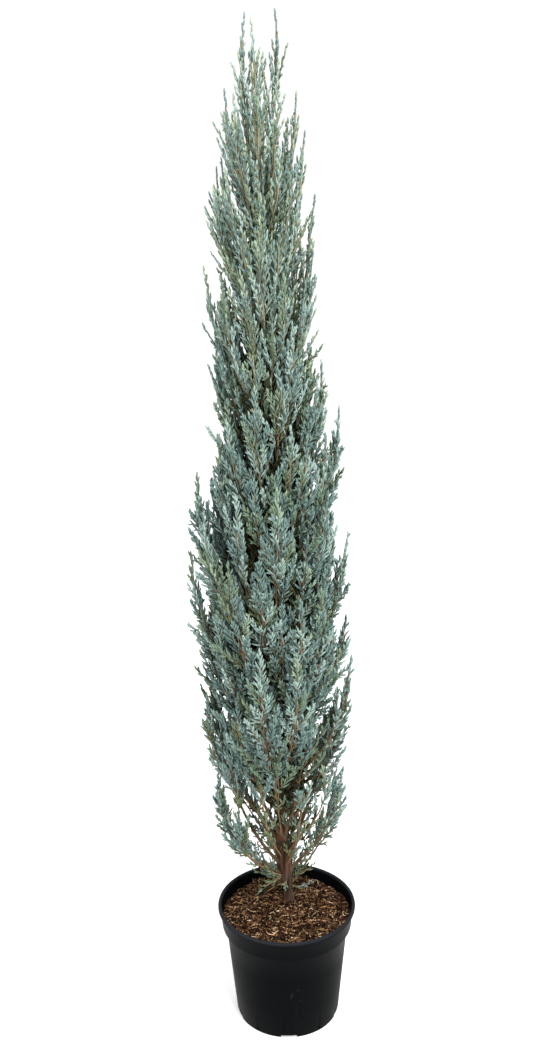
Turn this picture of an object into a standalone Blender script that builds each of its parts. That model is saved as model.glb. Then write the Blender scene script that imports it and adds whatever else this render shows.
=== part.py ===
"""A columnar rocky mountain juniper growing in a black nursery pot.

Metres, +Z up. The origin is under the middle of the pot's flat underside, +X is to the
tree's right and +Y to its back. Heights are above the floor unless a name says otherwise.
Every limb follows one rule: it leaves the trunk in its own direction, swings outwards and
then rises steeply. Its lower stretch may be a bare bough, and the rest is the stem of one
mass of foliage, which carries twigs by golden-angle turns and toothed blades of needles.
"""

import math
import random

import bmesh
import bpy
import numpy as np
from mathutils import Matrix, Vector

GAP = 0.0003  # between solids that touch
GOLDEN_TURN = math.radians(137.508)

# Pot
POT_HEIGHT = 0.212
RIM_RADIUS = 0.120
LIP_DROP = 0.0075
COLLAR_TOP_RADIUS = 0.1158
COLLAR_RADIUS = 0.1132
COLLAR_BOTTOM = 0.174
SHOULDER_DROP = 0.007
BODY_RADIUS = 0.1056
FOOT_RADIUS = 0.0904
FOOT_ROUNDING = 0.0025
COLLAR_ROUNDING = 0.0012
LIP_PROFILE = (  # inwards from the rim's radius, down from the top
    (0.0012, 0.0069),
    (0.0000, 0.0038),
    (0.0014, 0.0008),
    (0.0034, 0.0000),
    (0.0056, 0.0016),
)
POT_WALL = 0.002
POT_FLOOR = 0.003
POT_SIDES = 32
FRONT = math.radians(270)
DRAIN_SLOTS = 5  # the first at the front, with a drain hole halfway to the next
DRAIN_SLOT_WIDTH = 0.028
DRAIN_SLOT_HEIGHT = 0.006
DRAIN_SLOT_DEPTH = 0.014
DRAIN_HOLE_RADIUS = 0.0025
DRAIN_HOLE_HEIGHT = 0.0068
DRAIN_HOLE_SIDES = 10

# Soil
SOIL_EDGE_HEIGHT = 0.189
SOIL_CROWN_HEIGHT = 0.194
SOIL_RINGS = 3
SOIL_RIPPLE = 0.0011
SOIL_WAVES = ((3, 9.0), (7, -13.0))  # waves round the pot, radians outwards
SOIL_FLAT_RADIUS = 0.045  # round the trunk's foot

# Trunk
TRUNK_FOOT = Vector((0.0045, 0.030, SOIL_CROWN_HEIGHT + GAP))
TRUNK_TIP_HEIGHT = 1.43
TRUNK_SIDES = 9
TRUNK_LOW_RINGS = (0.0, 0.006, 0.015, 0.035, 0.06, 0.085, 0.11, 0.15)  # above the soil
TRUNK_HIGH_RINGS = 12
BEND_HEIGHT = 0.15  # the foot leans to the left up to here, the rest more and more gently
BEND = 0.0145
LEAN = 0.0175
LEAN_HEIGHT = 1.08
SWAY = 0.0032
SWAY_TURN = 7.4  # radians in a metre
SWAY_START = 0.6
SWAY_HEIGHT = 0.25
BACK_TO_MIDDLE_HEIGHT = 0.75
ROOT_LOBES = 3
ROOT_LOBE_SWELL = 0.12
ROOT_LOBE_HEIGHT = 0.03
ROOT_LOBE_TURN = 0.7
TRUNK_RADII = (  # height above the soil, radius: root flare, crotch of the boughs, long taper
    (0.000, 0.0098),
    (0.010, 0.0080),
    (0.030, 0.0076),
    (0.060, 0.0100),
    (0.085, 0.0120),
    (0.110, 0.0104),
    (0.150, 0.0074),
    (0.300, 0.0060),
    (0.700, 0.0042),
    (1.000, 0.0026),
    (1.234, 0.0013),
)

# Crown: height, how far its furthest tips reach from the trunk to the left and to the right
CROWN_OUTLINE = (
    (0.30, 0.085, 0.080),
    (0.38, 0.102, 0.106),
    (0.46, 0.108, 0.106),
    (0.60, 0.126, 0.112),
    (0.72, 0.124, 0.120),
    (0.84, 0.122, 0.120),
    (0.94, 0.118, 0.102),
    (1.05, 0.094, 0.112),
    (1.14, 0.088, 0.092),
    (1.24, 0.088, 0.070),
    (1.38, 0.078, 0.088),
    (1.46, 0.064, 0.072),
    (1.55, 0.060, 0.058),
    (1.62, 0.028, 0.045),
    (1.66, 0.022, 0.038),
)

# Limbs with a bare bough: direction in degrees from +X, height of the fork, reach from the
# trunk, height of the tip, how soon it turns upwards, how much of it is bare, bough radius
BOUGHS = {
    "shoot_left": (168, 0.232, 0.078, 0.338, 2.6, 0.16, 0.0022),
    "shoot_right": (24, 0.226, 0.082, 0.346, 2.2, 0.16, 0.0022),
    "low_left": (190, 0.250, 0.106, 0.460, 2.7, 0.18, 0.0034),
    "low_right": (350, 0.256, 0.106, 0.462, 1.9, 0.20, 0.0036),
    "left": (202, 0.272, 0.088, 0.585, 2.6, 0.25, 0.0034),
    "right": (12, 0.280, 0.104, 0.600, 1.5, 0.25, 0.0040),
    "back_left": (128, 0.262, 0.098, 0.520, 2.2, 0.26, 0.0034),
    "back_right": (58, 0.270, 0.100, 0.540, 2.0, 0.26, 0.0034),
    "upper_left": (164, 0.318, 0.112, 0.640, 2.2, 0.25, 0.0040),
    "inner_left": (226, 0.336, 0.074, 0.600, 1.9, 0.25, 0.0032),
    "inner_right": (318, 0.322, 0.076, 0.610, 1.5, 0.25, 0.0034),
    "back": (93, 0.326, 0.096, 0.600, 1.9, 0.28, 0.0032),
}

# Limbs clothed from the trunk outwards
SPIRAL_COUNT = 27
SPIRAL_LOWEST = 0.385
SPIRAL_HIGHEST = 1.325
SPIRAL_START_TURN = math.radians(262)
LOWEST_LENGTH = 0.325
HIGHEST_LENGTH = 0.225
SPIRAL_BOW = 2.0
TURN_SCATTER = 0.12
LENGTH_SCATTER = (0.94, 1.06)
REACH_SCATTER = (0.92, 1.06)
TIP_SLACK = 1.04
TIP_SHARE = 0.90  # a limb's reach as a share of the crown's half width at its tip

# Leaders and the crown's shoulders: direction, fork height, reach, tip height, bow, plume width
LEADERS = {
    "left_shoulder": (181, 0.700, 0.114, 0.985, 2.6, 0.044),
    "right_shoulder": (2, 0.790, 0.108, 1.085, 2.0, 0.042),
    "leader_left": (150, 1.352, 0.024, 1.650, 2.4, 0.034),
    "leader_middle": (255, 1.437, 0.012, 1.651, 1.0, 0.034),
    "leader_right": (12, 1.365, 0.033, 1.658, 1.6, 0.034),
}

# Foliage
LOWEST_PLUME_WIDTH = 0.048
HIGHEST_PLUME_WIDTH = 0.038
LOWEST_PLUME_HEIGHT = 0.35
PLUME_FOOT = 0.27  # of a half wave from foot to tip
PLUME_SPAN = 0.66
PLUME_FULLNESS = 0.8
STEM_SIDES = 3
STEM_RADIUS = 0.0022
STEM_TIP_RADIUS = 0.0009
STEM_SPANS = 3
STEM_TAPER = 0.8
SHOOTS = 9  # besides the one at the stem's tip
STALK_EVERY = 4
TWIG_RADIUS = 0.0011
TWIG_ANGLE = math.radians(21)
TWIG_TIP_RADIUS = 0.0007
TWIG_LENGTH_SHARE = 2.7  # of the plume's width
BLADE_ANGLE = math.radians(14)
BLADE_WIDTH_SHARE = 0.85
BLADE_THICKNESS = 0.0017
BLADE_BOW = 0.10
BLADE_TEETH = ((0.16, 0.42), (0.055, 0.48), (0.115, 0.75))  # half width, place along it
BLADE_MIDDLE = 0.46
BLADE_ROLL = 0.7
SHOOT_SCATTER = (0.92, 1.12)
BLADE_ROOT_SINK = 0.004
STALK_OVERLAP = 0.002
STALK_SHARE = 0.16
LENGTHS_TRIED = (1.0, 0.9, 0.8, 0.7, 0.6, 0.5, 0.4)
FIRST_SHOOT = 0.06  # share of the foliage
LAST_SHOOT = 0.90
STEM_END = 0.88
TIP_BLADE_SINK = 0.012
CELL_MARGIN = 0.003  # between the spaces of two masses
LIMB_CLEARANCE = 0.0015
BOUGH_SIDES = 6
BOUGH_SPANS = 4
FORK_LENGTH = 0.008  # of a limb's cut against the trunk
BOUGH_GIRTH = 0.002
LINE_SAMPLES = 28
TRUNK_SAMPLE_STEP = 0.01
GRAIN_STEP = 0.005
HEADING_STEP = 0.01
WELD = 2e-6
ATTEMPTS = 12


def smooth(t):
    t = min(1.0, max(0.0, t))
    return t * t * (3 - 2 * t)


def between(pairs, at):
    """The value at a place between (place, value) pairs, eased so that no kink shows."""
    if at <= pairs[0][0]:
        return pairs[0][1]
    for (low, first), (high, second) in zip(pairs, pairs[1:]):
        if at <= high:
            return first + (second - first) * smooth((at - low) / (high - low))
    return pairs[-1][1]


def direction(angle):
    return Vector((math.cos(angle), math.sin(angle), 0.0))


# ---------------------------------------------------------------- scene and materials


def clear_scene():
    for obj in list(bpy.data.objects):
        bpy.data.objects.remove(obj)


def material(name, colour, roughness):
    made = bpy.data.materials.new(name)
    made.use_nodes = True
    shader = made.node_tree.nodes["Principled BSDF"]
    shader.inputs["Base Color"].default_value = (*colour, 1.0)
    shader.inputs["Roughness"].default_value = roughness
    made.diffuse_color = (*colour, 1.0)
    return made


def black_plastic():
    return material("black_plastic", (0.018, 0.020, 0.022), 0.45)


def bark_mulch():
    return material("bark_mulch", (0.115, 0.060, 0.033), 0.95)


def trunk_bark():
    return material("trunk_bark", (0.150, 0.085, 0.055), 0.90)


def bough_bark():
    return material("bough_bark", (0.240, 0.120, 0.060), 0.85)


def blue_needles():
    return material("blue_needles", (0.230, 0.335, 0.330), 0.75)


def add_object(name, bm, surface, is_round=False):
    mesh = bpy.data.meshes.new(name)
    bm.to_mesh(mesh)
    bm.free()
    mesh.materials.append(surface)
    if is_round:
        mesh.shade_smooth()
        mesh.set_sharp_from_angle(angle=math.radians(40))
    obj = bpy.data.objects.new(name, mesh)
    bpy.context.scene.collection.objects.link(obj)
    return obj


# ---------------------------------------------------------------- basic forms


def turned(profile, sides):
    """A closed form turned about the Z axis from (radius, height) points."""
    bm = bmesh.new()
    line = [bm.verts.new((radius, 0.0, height)) for radius, height in profile]
    edges = [bm.edges.new(pair) for pair in zip(line, line[1:])]
    bmesh.ops.spin(
        bm,
        geom=line + edges,
        cent=(0, 0, 0),
        axis=(0, 0, 1),
        angle=math.tau,
        steps=sides,
        use_merge=True,
    )
    bmesh.ops.remove_doubles(bm, verts=bm.verts, dist=1e-5)
    bmesh.ops.recalc_face_normals(bm, faces=bm.faces)
    return bm


def tube(centres, radii, sides, start_normal=None, lobes=None):
    """A tapering tube through centres. start_normal turns its first cut; lobes swells it."""
    bm = bmesh.new()
    rings = []
    along = (centres[1] - centres[0]).normalized()
    side = along.orthogonal().normalized()
    for index, (centre, radius) in enumerate(zip(centres, radii)):
        ahead = centres[min(index + 1, len(centres) - 1)]
        behind = centres[max(index - 1, 0)]
        along = (ahead - behind).normalized()
        side = (side - side.dot(along) * along).normalized()
        across = along.cross(side)
        ring = []
        for step in range(sides):
            turn = math.tau * step / sides
            swell = lobes(centre, turn) if lobes else 1.0
            spoke = (math.cos(turn) * side + math.sin(turn) * across) * radius * swell
            if index == 0 and start_normal is not None:
                # slides the point along the tube until it lies in the plane of the cut
                slide = spoke.dot(start_normal) / along.dot(start_normal)
                spoke = spoke - along * slide
            ring.append(bm.verts.new(centre + spoke))
        rings.append(ring)
    for low, high in zip(rings, rings[1:]):
        for step in range(sides):
            following = (step + 1) % sides
            bm.faces.new((low[step], low[following], high[following], high[step]))
    bm.faces.new(list(reversed(rings[0])))
    bm.faces.new(rings[-1])
    return bm


def apply_modifier(obj, modifier):
    with bpy.context.temp_override(object=obj, active_object=obj, selected_objects=[obj]):
        bpy.ops.object.modifier_apply(modifier=modifier.name)


def cut(obj, cutter):
    """Cuts cutter out of obj, then removes the cutter."""
    modifier = obj.modifiers.new("cut", "BOOLEAN")
    modifier.operation = "DIFFERENCE"
    modifier.object = cutter
    apply_modifier(obj, modifier)
    bpy.data.objects.remove(cutter)


# ---------------------------------------------------------------- pot and soil


def inner_wall():
    """The pot's inner wall from its floor to its lip: (radius, height) points."""
    body_top = COLLAR_BOTTOM - SHOULDER_DROP
    floor_radius = FOOT_RADIUS + (BODY_RADIUS - FOOT_RADIUS) * POT_FLOOR / body_top
    return [
        (floor_radius - POT_WALL, POT_FLOOR),
        (BODY_RADIUS - POT_WALL, body_top),
        (COLLAR_RADIUS - POT_WALL, COLLAR_BOTTOM + POT_WALL),
        (COLLAR_TOP_RADIUS - POT_WALL, POT_HEIGHT - LIP_DROP),
    ]


def inner_radius(height):
    wall = inner_wall()
    for (low_radius, low), (high_radius, high) in zip(wall, wall[1:]):
        if height <= high:
            return low_radius + (high_radius - low_radius) * (height - low) / (high - low)
    return wall[-1][0]


def drain_slot(turn):
    """A box that cuts a slot in the foot's edge."""
    bm = bmesh.new()
    bmesh.ops.create_cube(bm, size=1.0)
    size = (DRAIN_SLOT_DEPTH, DRAIN_SLOT_WIDTH, 2 * DRAIN_SLOT_HEIGHT)
    bmesh.ops.scale(bm, vec=size, verts=bm.verts)
    place = Matrix.Translation(direction(turn) * FOOT_RADIUS)
    bm.transform(place @ Matrix.Rotation(turn, 4, "Z"))
    return bm


def drain_hole(turn):
    """A rod that cuts a round hole low in the wall."""
    bm = bmesh.new()
    bmesh.ops.create_cone(
        bm,
        segments=DRAIN_HOLE_SIDES,
        radius1=DRAIN_HOLE_RADIUS,
        radius2=DRAIN_HOLE_RADIUS,
        depth=6 * POT_WALL,
        cap_ends=True,
    )
    place = Matrix.Translation(direction(turn) * FOOT_RADIUS + Vector((0, 0, DRAIN_HOLE_HEIGHT)))
    lying = Matrix.Rotation(turn, 4, "Z") @ Matrix.Rotation(math.pi / 2, 4, "Y")
    bm.transform(place @ lying)
    return bm


def make_pot(plastic):
    outside = [
        (0.0, 0.0),
        (FOOT_RADIUS - FOOT_ROUNDING, 0.0),
        (FOOT_RADIUS, FOOT_ROUNDING),
        (BODY_RADIUS, COLLAR_BOTTOM - SHOULDER_DROP),
        (COLLAR_RADIUS - COLLAR_ROUNDING, COLLAR_BOTTOM - COLLAR_ROUNDING),
        (COLLAR_RADIUS, COLLAR_BOTTOM + COLLAR_ROUNDING),
        (COLLAR_TOP_RADIUS, POT_HEIGHT - LIP_DROP - COLLAR_ROUNDING),
    ]
    lip = [(RIM_RADIUS - inwards, POT_HEIGHT - down) for inwards, down in LIP_PROFILE]
    profile = outside + lip + list(reversed(inner_wall())) + [(0.0, POT_FLOOR)]
    pot = add_object("pot", turned(profile, POT_SIDES), plastic, is_round=True)
    step = math.tau / DRAIN_SLOTS
    for number in range(DRAIN_SLOTS):
        turn = FRONT + number * step
        cut(pot, add_object("slot_cutter", drain_slot(turn), plastic))
        cut(pot, add_object("hole_cutter", drain_hole(turn + step / 2), plastic))
    return pot


def make_soil(mulch):
    """Fills the pot to a little below its lip. The top is a rippled low dome, flat at the trunk."""
    floor = POT_FLOOR + GAP
    below = [(radius - GAP, max(height, floor)) for radius, height in inner_wall()[:3]]
    edge = inner_radius(SOIL_EDGE_HEIGHT) - GAP
    rings = [edge * ring / SOIL_RINGS for ring in range(SOIL_RINGS, -1, -1)]
    profile = [(0.0, floor)] + below + [(radius, SOIL_EDGE_HEIGHT) for radius in rings]
    bm = turned(profile, POT_SIDES)
    for vert in bm.verts:
        if vert.co.z < SOIL_EDGE_HEIGHT - GAP:
            continue
        share = math.hypot(vert.co.x, vert.co.y) / edge
        foot_distance = (vert.co.xy - TRUNK_FOOT.xy).length
        turn = math.atan2(vert.co.y, vert.co.x)
        dome = (SOIL_CROWN_HEIGHT - SOIL_EDGE_HEIGHT) * (1 - share**2)
        ripple = sum(math.sin(waves * turn + swirl * share) for waves, swirl in SOIL_WAVES)
        rough = SOIL_EDGE_HEIGHT + dome + SOIL_RIPPLE * ripple * share
        settled = smooth((foot_distance - SOIL_FLAT_RADIUS) / SOIL_FLAT_RADIUS)
        vert.co.z = SOIL_CROWN_HEIGHT + (rough - SOIL_CROWN_HEIGHT) * settled
    return add_object("soil", bm, mulch)


# ---------------------------------------------------------------- trunk


def trunk_point(height):
    """The middle of the trunk at a height: off the pot's middle at its foot, leaning left."""
    up = height - TRUNK_FOOT.z
    lean = BEND * smooth(up / BEND_HEIGHT)
    lean += LEAN * max(0.0, (up - BEND_HEIGHT) / LEAN_HEIGHT) ** 1.5
    sway = SWAY * math.sin(SWAY_TURN * up + SWAY_START) * smooth(up / SWAY_HEIGHT)
    back = TRUNK_FOOT.y * (1 - smooth(up / BACK_TO_MIDDLE_HEIGHT))
    return Vector((TRUNK_FOOT.x - lean + sway, back, height))


def trunk_radius(height):
    return between(TRUNK_RADII, height - TRUNK_FOOT.z)


def make_trunk(bark):
    heights = [TRUNK_FOOT.z + up for up in TRUNK_LOW_RINGS]
    rise = (TRUNK_TIP_HEIGHT - heights[-1]) / TRUNK_HIGH_RINGS
    heights += [heights[-1] + rise * step for step in range(1, TRUNK_HIGH_RINGS + 1)]

    def root_lobes(centre, turn):
        spread = 1 - smooth((centre.z - TRUNK_FOOT.z) / ROOT_LOBE_HEIGHT)
        return 1 + ROOT_LOBE_SWELL * spread * math.cos(ROOT_LOBES * turn + ROOT_LOBE_TURN)

    bm = tube(
        [trunk_point(height) for height in heights],
        [trunk_radius(height) for height in heights],
        TRUNK_SIDES,
        start_normal=Vector((0, 0, 1)),
        lobes=root_lobes,
    )
    return add_object("trunk", bm, bark, is_round=True)


# ---------------------------------------------------------------- limbs


class Limb:
    """One limb: its line from the trunk to its tip, and where its foliage starts."""

    def __init__(self, name, turn, fork, reach, tip, bow, bare, width, radius):
        self.name = name
        self.turn = turn
        self.fork = fork
        self.tip = tip
        self.bow = bow
        self.bare = bare
        self.width = width
        self.radius = radius
        grain = (trunk_point(fork + GRAIN_STEP) - trunk_point(fork - GRAIN_STEP)).normalized()
        outwards = direction(turn)
        self.cut_normal = (outwards - outwards.dot(grain) * grain).normalized()
        nearby = [trunk_radius(fork + step) for step in (-FORK_LENGTH, 0, FORK_LENGTH)]
        self.start = trunk_point(fork) + self.cut_normal * (max(nearby) + 1.5 * GAP)
        if fork > TRUNK_TIP_HEIGHT:
            self.cut_normal = Vector((0, 0, 1))
            self.start = trunk_point(TRUNK_TIP_HEIGHT) + self.cut_normal * 2 * GAP
        end = crown_middle(tip) + outwards * reach
        self.swing = Vector((end.x - self.start.x, end.y - self.start.y, 0.0))

    def point(self, share):
        """A point of the limb's line, from 0 at the trunk to 1 at the tip."""
        out = 1 - (1 - share) ** self.bow
        rise = Vector((0, 0, (self.tip - self.fork) * share))
        return self.start + self.swing * out + rise

    def heading(self, share):
        ahead = self.point(min(1, share + HEADING_STEP))
        return (ahead - self.point(max(0, share - HEADING_STEP))).normalized()

    def thickness(self, share):
        base = self.radius if self.bare else STEM_RADIUS
        return base + (STEM_TIP_RADIUS - base) * share**STEM_TAPER


def crown_middle(height):
    """The trunk's line, carried on above its tip."""
    middle = trunk_point(min(height, TRUNK_TIP_HEIGHT))
    middle.z = height
    return middle


def crown_reach(height, turn):
    """How far the furthest tips reach from the trunk's line in a direction."""
    left = between([(z, to_left) for z, to_left, _ in CROWN_OUTLINE], height)
    right = between([(z, to_right) for z, _, to_right in CROWN_OUTLINE], height)
    return 0.5 * (left + right) + 0.5 * (right - left) * math.cos(turn)


def in_crown(point):
    spoke = point - crown_middle(point.z)
    return spoke.xy.length < TIP_SLACK * crown_reach(point.z, math.atan2(spoke.y, spoke.x))


def plume_width(height):
    share = (height - LOWEST_PLUME_HEIGHT) / (TRUNK_TIP_HEIGHT - LOWEST_PLUME_HEIGHT)
    share = min(1.0, max(0.0, share))
    return LOWEST_PLUME_WIDTH + (HIGHEST_PLUME_WIDTH - LOWEST_PLUME_WIDTH) * share


def all_limbs():
    limbs = []
    for name, (turn, fork, reach, tip, bow, bare, radius) in BOUGHS.items():
        width = plume_width(fork)
        limbs.append(Limb(name, math.radians(turn), fork, reach, tip, bow, bare, width, radius))
    for number in range(SPIRAL_COUNT):
        share = number / (SPIRAL_COUNT - 1)
        chance = random.Random(f"limb {number}")
        fork = SPIRAL_LOWEST + (SPIRAL_HIGHEST - SPIRAL_LOWEST) * share
        turn = SPIRAL_START_TURN + number * GOLDEN_TURN
        turn += chance.uniform(-TURN_SCATTER, TURN_SCATTER)
        length = LOWEST_LENGTH + (HIGHEST_LENGTH - LOWEST_LENGTH) * share
        tip = fork + length * chance.uniform(*LENGTH_SCATTER)
        reach = TIP_SHARE * crown_reach(tip, turn) * chance.uniform(*REACH_SCATTER)
        name = f"spire_{number + 1:02d}"
        width = plume_width(fork)
        limbs.append(Limb(name, turn, fork, reach, tip, SPIRAL_BOW, 0.0, width, STEM_RADIUS))
    for name, (turn, fork, reach, tip, bow, width) in LEADERS.items():
        turn = math.radians(turn)
        limbs.append(Limb(name, turn, fork, reach, tip, bow, 0.0, width, STEM_RADIUS))
    return limbs


# ---------------------------------------------------------------- spaces of the masses


class Spaces:
    """Tells whether a point lies in one limb's own space, clear of the trunk and boughs."""

    def __init__(self, limbs):
        shares = [step / LINE_SAMPLES for step in range(LINE_SAMPLES + 1)]
        lines = [[limb.point(share)[:] for share in shares] for limb in limbs]
        self.lines = np.array(lines)
        bare = [[limb.bare > 0 and share <= limb.bare for share in shares] for limb in limbs]
        self.bare = np.array(bare)
        heights = np.arange(TRUNK_FOOT.z, TRUNK_TIP_HEIGHT, TRUNK_SAMPLE_STEP)
        self.trunk = np.array([trunk_point(height)[:] for height in heights])
        self.trunk_radii = np.array([trunk_radius(height) for height in heights])

    def holds(self, number, points):
        """Whether limb number's space holds every point."""
        for point in points:
            gaps = np.linalg.norm(self.lines - np.array(point[:]), axis=2)
            near = gaps.min(axis=1)
            own = near[number]
            near[number] = np.inf
            if own + CELL_MARGIN > near.min():
                return False
            if gaps[number][self.bare[number]].min(initial=1.0) < 2 * LIMB_CLEARANCE + BOUGH_GIRTH:
                return False
            trunk_gaps = np.linalg.norm(self.trunk - np.array(point[:]), axis=1)
            if (trunk_gaps - self.trunk_radii).min() < 2 * LIMB_CLEARANCE:
                return False
        return True


# ---------------------------------------------------------------- foliage


def blade_frame(heading, facing):
    across = heading.cross(facing).normalized()
    return across, across.cross(heading).normalized()


def blade_outline(root, heading, facing, length):
    """The blade's outline from its root round by its teeth to its tip and back."""
    across, up = blade_frame(heading, facing)
    lift = BLADE_BOW * length
    left = [(-x, y) for x, y in reversed(BLADE_TEETH)]
    flat = [(0.0, 0.0), *BLADE_TEETH, (0.0, 1.0), *left]
    return [
        root + across * (x * 2 * BLADE_WIDTH_SHARE * length) + heading * (y * length)
        + up * (lift * y * y)
        for x, y in flat
    ]


def add_blade(bm, root, heading, facing, length):
    """A toothed blade of needles, thickest at its middle."""
    outline = blade_outline(root, heading, facing, length)
    _, up = blade_frame(heading, facing)
    middle = root + heading * (BLADE_MIDDLE * length)
    middle += up * (BLADE_BOW * length * BLADE_MIDDLE**2)
    rim = [bm.verts.new(point) for point in outline]
    top = bm.verts.new(middle + up * BLADE_THICKNESS)
    bottom = bm.verts.new(middle - up * BLADE_THICKNESS)
    for here, following in zip(rim, rim[1:] + rim[:1]):
        bm.faces.new((here, following, top))
        bm.faces.new((following, here, bottom))


def plume_share(along):
    """How wide a plume is along its foliage, from 0 at its foot to 1 at its tip."""
    return math.sin(math.pi * (PLUME_FOOT + PLUME_SPAN * along)) ** PLUME_FULLNESS


def shoots(limb, chance):
    """Every side shoot of a limb: share of the line, direction, length, whether it has a stalk."""
    found = []
    start = chance.uniform(0, math.tau)
    for number in range(SHOOTS):
        along = (number + 0.5) / SHOOTS
        share = limb.bare + (1 - limb.bare) * (FIRST_SHOOT + (LAST_SHOOT - FIRST_SHOOT) * along)
        heading = limb.heading(share)
        side = heading.orthogonal().normalized()
        side.rotate(Matrix.Rotation(start + number * GOLDEN_TURN, 3, heading))
        has_stalk = number % STALK_EVERY == 1
        angle = TWIG_ANGLE if has_stalk else BLADE_ANGLE
        out = (heading * math.cos(angle) + side * math.sin(angle)).normalized()
        length = limb.width * TWIG_LENGTH_SHARE * plume_share(along)
        length *= chance.uniform(*SHOOT_SCATTER)
        found.append((share, out, side, length, has_stalk))
    return found


def stem_points(limb):
    """Points of the stem inside the foliage, clear of the bough or trunk it grows from."""
    length = (limb.tip - limb.fork) * 1.05
    first = limb.bare + (GAP / length if limb.bare else 0.0)
    shares = [first + (STEM_END - first) * step / STEM_SPANS for step in range(STEM_SPANS + 1)]
    return [limb.point(share) for share in shares], [limb.thickness(share) for share in shares]


def blade_fits(spaces, number, root, heading, facing, length):
    outline = blade_outline(root, heading, facing, length)[1:]
    inner = [root.lerp(point, 0.5) for point in outline]
    return all(in_crown(point) for point in outline) and spaces.holds(number, outline + inner)


def make_mass(limb, number, spaces, needles):
    """One mass of foliage, turned another way where its pieces would only just touch."""
    for attempt in range(ATTEMPTS):
        chance = random.Random(f"foliage {limb.name} {attempt}")
        mass = unite(limb.name + "_foliage", mass_pieces(limb, number, spaces, chance), needles)
        if is_sound(mass):
            return mass
        bpy.data.objects.remove(mass)
    raise RuntimeError(f"{limb.name} has no sound foliage")


def mass_pieces(limb, number, spaces, chance):
    """Stem, twigs and blades of a mass, each a closed piece sunk into the next."""
    points, radii = stem_points(limb)
    cut_normal = limb.heading(limb.bare) if limb.bare else limb.cut_normal
    pieces = [tube(points, radii, STEM_SIDES, start_normal=cut_normal)]
    for share, out, side, length, has_stalk in shoots(limb, chance):
        root = limb.point(share)
        facing = side.cross(out).cross(out) * -1
        facing.rotate(Matrix.Rotation(chance.uniform(-BLADE_ROLL, BLADE_ROLL), 3, out))
        stalk = STALK_SHARE if has_stalk else 0.0
        for shrink in LENGTHS_TRIED:
            size = length * shrink
            foot = root + out * (size * stalk)
            if blade_fits(spaces, number, foot, out, facing, size * (1 - stalk)):
                break
        else:
            continue
        sunk = foot - out * (BLADE_ROOT_SINK if has_stalk else 0.0)
        bm = bmesh.new()
        add_blade(bm, sunk, out, facing, size * (1 - stalk))
        pieces.append(bm)
        if has_stalk:
            end = foot + out * STALK_OVERLAP
            pieces.append(tube([root, end], [TWIG_RADIUS, TWIG_TIP_RADIUS], 3))
    tip = limb.point(1.0)
    foot = limb.point(STEM_END - TIP_BLADE_SINK)
    heading = (tip - foot).normalized()
    bm = bmesh.new()
    add_blade(bm, foot, heading, direction(limb.turn), (tip - foot).length)
    pieces.append(bm)
    return pieces


def unite(name, pieces, surface):
    """Makes one solid of overlapping closed pieces and keeps its largest shell."""
    base = add_object(name, pieces[0], surface)
    others = bpy.data.collections.new(name + "_pieces")
    bpy.context.scene.collection.children.link(others)
    for index, piece in enumerate(pieces[1:]):
        bmesh.ops.recalc_face_normals(piece, faces=piece.faces)
        mesh = bpy.data.meshes.new(f"{name}_{index}")
        piece.to_mesh(mesh)
        piece.free()
        others.objects.link(bpy.data.objects.new(mesh.name, mesh))
    modifier = base.modifiers.new("union", "BOOLEAN")
    modifier.operation = "UNION"
    modifier.operand_type = "COLLECTION"
    modifier.collection = others
    modifier.solver = "MANIFOLD"
    apply_modifier(base, modifier)
    for obj in list(others.objects):
        bpy.data.objects.remove(obj)
    bpy.data.collections.remove(others)
    keep_largest_shell(base)
    return base


def is_sound(obj):
    """Whether the solid stays closed when points nearer than WELD become one."""
    bm = bmesh.new()
    bm.from_mesh(obj.data)
    bmesh.ops.remove_doubles(bm, verts=bm.verts, dist=WELD)
    sound = all(edge.is_manifold for edge in bm.edges) and all(v.is_manifold for v in bm.verts)
    bm.free()
    return sound


def keep_largest_shell(obj):
    """Drops loose scraps and fills sealed hollows."""
    bm = bmesh.new()
    bm.from_mesh(obj.data)
    unseen = set(bm.faces)
    shells = []
    while unseen:
        shell = [unseen.pop()]
        for face in shell:
            for edge in face.edges:
                for neighbour in edge.link_faces:
                    if neighbour in unseen:
                        unseen.remove(neighbour)
                        shell.append(neighbour)
        shells.append(shell)
    shells.sort(key=len)
    scraps = [face for shell in shells[:-1] for face in shell]
    bmesh.ops.delete(bm, geom=scraps, context="FACES")
    bmesh.ops.triangulate(bm, faces=bm.faces)
    bm.to_mesh(obj.data)
    bm.free()


def make_bough(limb, bark):
    """The bare stretch of a limb, from just clear of the trunk to its foliage."""
    shares = [limb.bare * step / BOUGH_SPANS for step in range(BOUGH_SPANS + 1)]
    bm = tube(
        [limb.point(share) for share in shares],
        [limb.thickness(share) for share in shares],
        BOUGH_SIDES,
        start_normal=limb.cut_normal,
    )
    return add_object(limb.name + "_bough", bm, bark, is_round=True)


def main():
    clear_scene()
    make_pot(black_plastic())
    make_soil(bark_mulch())
    make_trunk(trunk_bark())
    limbs = all_limbs()
    spaces = Spaces(limbs)
    bark = bough_bark()
    needles = blue_needles()
    for number, limb in enumerate(limbs):
        if limb.bare:
            make_bough(limb, bark)
        make_mass(limb, number, spaces, needles)


main()
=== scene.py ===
import math
import random

import bpy
import numpy as np
from mathutils import Matrix, Vector, noise


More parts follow.
